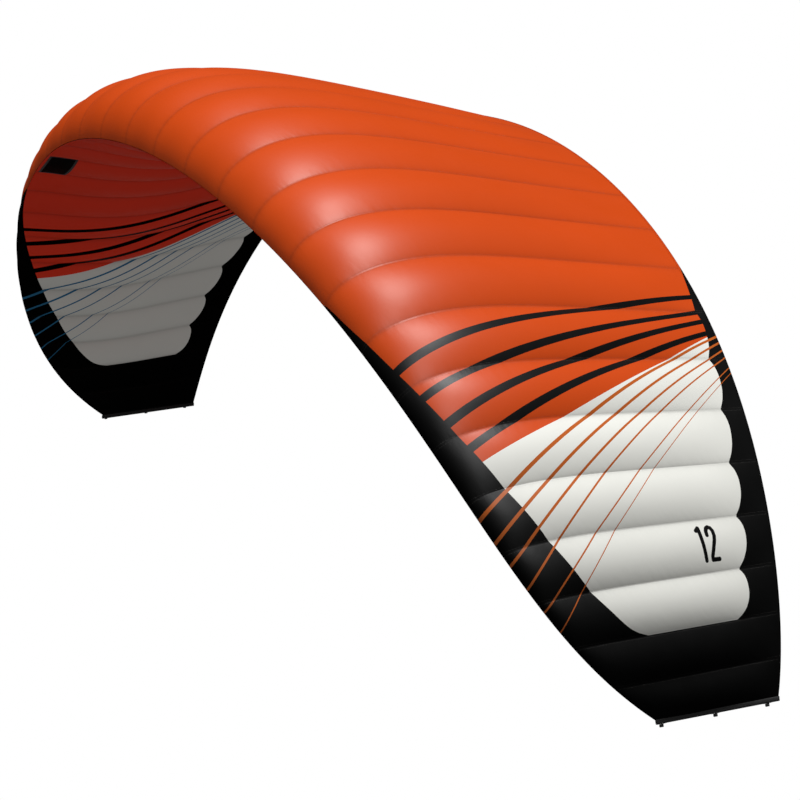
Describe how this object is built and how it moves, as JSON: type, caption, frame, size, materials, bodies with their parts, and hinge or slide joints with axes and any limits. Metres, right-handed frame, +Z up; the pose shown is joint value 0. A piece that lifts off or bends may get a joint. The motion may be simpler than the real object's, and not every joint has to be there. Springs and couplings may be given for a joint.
{
  "type": "kitesurf kite",
  "caption": "C-shaped twin-skin kitesurf kite with closed cells, sewn seams and bare tips that carry loops for the flying lines.",
  "frame": {"origin": "midway between the two tips' middle line loops, on the hinge axes of their round heads", "axes": "+X forwards to the nose of the centre section, +Y to the kite's left tip, +Z up, away from the rider and the lines"},
  "size_m": [1.886, 6.154, 2.2945],
  "materials": {
    "orange_cloth": "coated ripstop, satin",
    "white_cloth": "coated ripstop, satin",
    "black_cloth": "coated ripstop, glossy",
    "rib_cloth": "plain ripstop, matte",
    "valve_cloth": "plain ripstop, matte",
    "webbing": "woven polyester webbing",
    "net": "coated polyester net",
    "zip_tape": "woven tape with moulded teeth",
    "zip_plastic": "moulded plastic",
    "glass_fibre_rod": "pultruded glass fibre"
  },
  "bodies": {
    "centre_section": {"centre_upper_skin": "orange_cloth", "centre_lower_skin": "orange_cloth", "centre_rib": "rib_cloth", "left_rib_1": "rib_cloth", "left_rib_2": "rib_cloth", "left_rib_3": "rib_cloth", "right_rib_1": "rib_cloth", "right_rib_2": "rib_cloth", "right_rib_3": "rib_cloth", "deflate_zip": "zip_tape"},
    "left_inner": {"left_inner_upper_skin": "orange_cloth", "left_inner_lower_skin": "orange_cloth", "left_rib_4": "rib_cloth", "left_rib_5": "rib_cloth", "left_rib_6": "rib_cloth", "left_rib_7": "rib_cloth", "left_intake_screen": "net"},
    "left_outer": {"left_outer_upper_skin": "white_cloth", "left_outer_lower_skin": "white_cloth", "left_rib_8": "rib_cloth", "left_rib_9": "rib_cloth", "left_rib_10": "rib_cloth", "left_rib_11": "rib_cloth", "left_rib_12": "rib_cloth"},
    "left_tip": {"left_tip_upper_skin": "black_cloth", "left_tip_lower_skin": "black_cloth", "left_rib_13": "rib_cloth", "left_rib_14": "rib_cloth", "left_tip_sleeve": "webbing", "left_tip_batten": "glass_fibre_rod"},
    "left_front_loop": {"left_front_line_loop": "webbing"},
    "left_middle_loop": {"left_middle_line_loop": "webbing"},
    "left_rear_loop": {"left_rear_line_loop": "webbing"},
    "left_valve": {"left_valve_flap": "valve_cloth"},
    "right_inner": {"right_inner_upper_skin": "orange_cloth", "right_inner_lower_skin": "orange_cloth", "right_rib_4": "rib_cloth", "right_rib_5": "rib_cloth", "right_rib_6": "rib_cloth", "right_rib_7": "rib_cloth", "right_intake_screen": "net"},
    "right_outer": {"right_outer_upper_skin": "white_cloth", "right_outer_lower_skin": "white_cloth", "right_rib_8": "rib_cloth", "right_rib_9": "rib_cloth", "right_rib_10": "rib_cloth", "right_rib_11": "rib_cloth", "right_rib_12": "rib_cloth"},
    "right_tip": {"right_tip_upper_skin": "black_cloth", "right_tip_lower_skin": "black_cloth", "right_rib_13": "rib_cloth", "right_rib_14": "rib_cloth", "right_tip_sleeve": "webbing", "right_tip_batten": "glass_fibre_rod"},
    "right_front_loop": {"right_front_line_loop": "webbing"},
    "right_middle_loop": {"right_middle_line_loop": "webbing"},
    "right_rear_loop": {"right_rear_line_loop": "webbing"},
    "right_valve": {"right_valve_flap": "valve_cloth"},
    "zip_slider": {"deflate_zip_slider": "zip_plastic"},
    "zip_pull": {"deflate_zip_pull": "zip_plastic"}
  },
  "joints": [
    {"name": "left_inner_flex", "type": "hinge", "parent": "centre_section", "child": "left_inner", "pos_m": [0.59467, 0.9846, 1.93423], "axis": [0.9997, 0.0062, 0.0242], "range_deg": [-3.5, 3.5], "stiffness_Nm_per_rad": 800},
    {"name": "left_outer_flex", "type": "hinge", "parent": "left_inner", "child": "left_outer", "pos_m": [0.52637, 2.08868, 1.42758], "axis": [0.9999, 0.0085, 0.0127], "range_deg": [-3.5, 3.5], "stiffness_Nm_per_rad": 300},
    {"name": "left_tip_twist", "type": "hinge", "parent": "left_outer", "child": "left_tip", "pos_m": [0.30129, 2.9023, 0.51845], "axis": [0, 0.4753, -0.8798], "range_deg": [-6, 6], "stiffness_Nm_per_rad": 60},
    {"name": "left_front_loop_swing", "type": "hinge", "parent": "left_tip", "child": "left_front_loop", "pos_m": [0.24281, 3.0656, -0.00053], "axis": [0.9999, -0.012, -0.0023], "range_deg": [-60, 60]},
    {"name": "left_middle_loop_swing", "type": "hinge", "parent": "left_tip", "child": "left_middle_loop", "pos_m": [0, 3.06832, 0], "axis": [0.9999, -0.012, -0.0023], "range_deg": [-60, 60]},
    {"name": "left_rear_loop_swing", "type": "hinge", "parent": "left_tip", "child": "left_rear_loop", "pos_m": [-0.23729, 3.07078, 0.00048], "axis": [0.9999, -0.012, -0.0023], "range_deg": [-60, 60]},
    {"name": "left_valve_opening", "type": "hinge", "parent": "left_inner", "child": "left_valve", "pos_m": [1.0701, 1.4182, 1.72622], "axis": [-0.0987, 0.9259, -0.3647], "range_deg": [0, 50], "stiffness_Nm_per_rad": 0.05},
    {"name": "right_inner_flex", "type": "hinge", "parent": "centre_section", "child": "right_inner", "pos_m": [0.59467, -0.9846, 1.93423], "axis": [-0.9997, 0.0062, -0.0242], "range_deg": [-3.5, 3.5], "stiffness_Nm_per_rad": 800},
    {"name": "right_outer_flex", "type": "hinge", "parent": "right_inner", "child": "right_outer", "pos_m": [0.52637, -2.08868, 1.42758], "axis": [-0.9999, 0.0085, -0.0127], "range_deg": [-3.5, 3.5], "stiffness_Nm_per_rad": 300},
    {"name": "right_tip_twist", "type": "hinge", "parent": "right_outer", "child": "right_tip", "pos_m": [0.30129, -2.9023, 0.51845], "axis": [0, 0.4753, 0.8798], "range_deg": [-6, 6], "stiffness_Nm_per_rad": 60},
    {"name": "right_front_loop_swing", "type": "hinge", "parent": "right_tip", "child": "right_front_loop", "pos_m": [0.24281, -3.0656, -0.00053], "axis": [-0.9999, -0.012, 0.0023], "range_deg": [-60, 60]},
    {"name": "right_middle_loop_swing", "type": "hinge", "parent": "right_tip", "child": "right_middle_loop", "pos_m": [0, -3.06832, 0], "axis": [-0.9999, -0.012, 0.0023], "range_deg": [-60, 60]},
    {"name": "right_rear_loop_swing", "type": "hinge", "parent": "right_tip", "child": "right_rear_loop", "pos_m": [-0.23729, -3.07078, 0.00048], "axis": [-0.9999, -0.012, 0.0023], "range_deg": [-60, 60]},
    {"name": "right_valve_opening", "type": "hinge", "parent": "right_inner", "child": "right_valve", "pos_m": [1.0701, -1.4182, 1.72622], "axis": [0.0987, 0.9259, 0.3647], "range_deg": [0, 50], "stiffness_Nm_per_rad": 0.05},
    {"name": "zip_travel", "type": "slide", "parent": "centre_section", "child": "zip_slider", "axis": [0.9863, -0.0069, -0.1647], "range_m": [0, 0.377]},
    {"name": "zip_pull_swing", "type": "hinge", "parent": "zip_slider", "child": "zip_pull", "pos_m": [-0.39859, 0.16332, 1.9412], "axis": [0, 0.9991, -0.0417], "range_deg": [0, 165]}
  ],
  "couplings": [
    {"joint": "left_outer_flex", "follows": "left_inner_flex", "ratio": 1},
    {"joint": "right_outer_flex", "follows": "right_inner_flex", "ratio": 1}
  ]
}
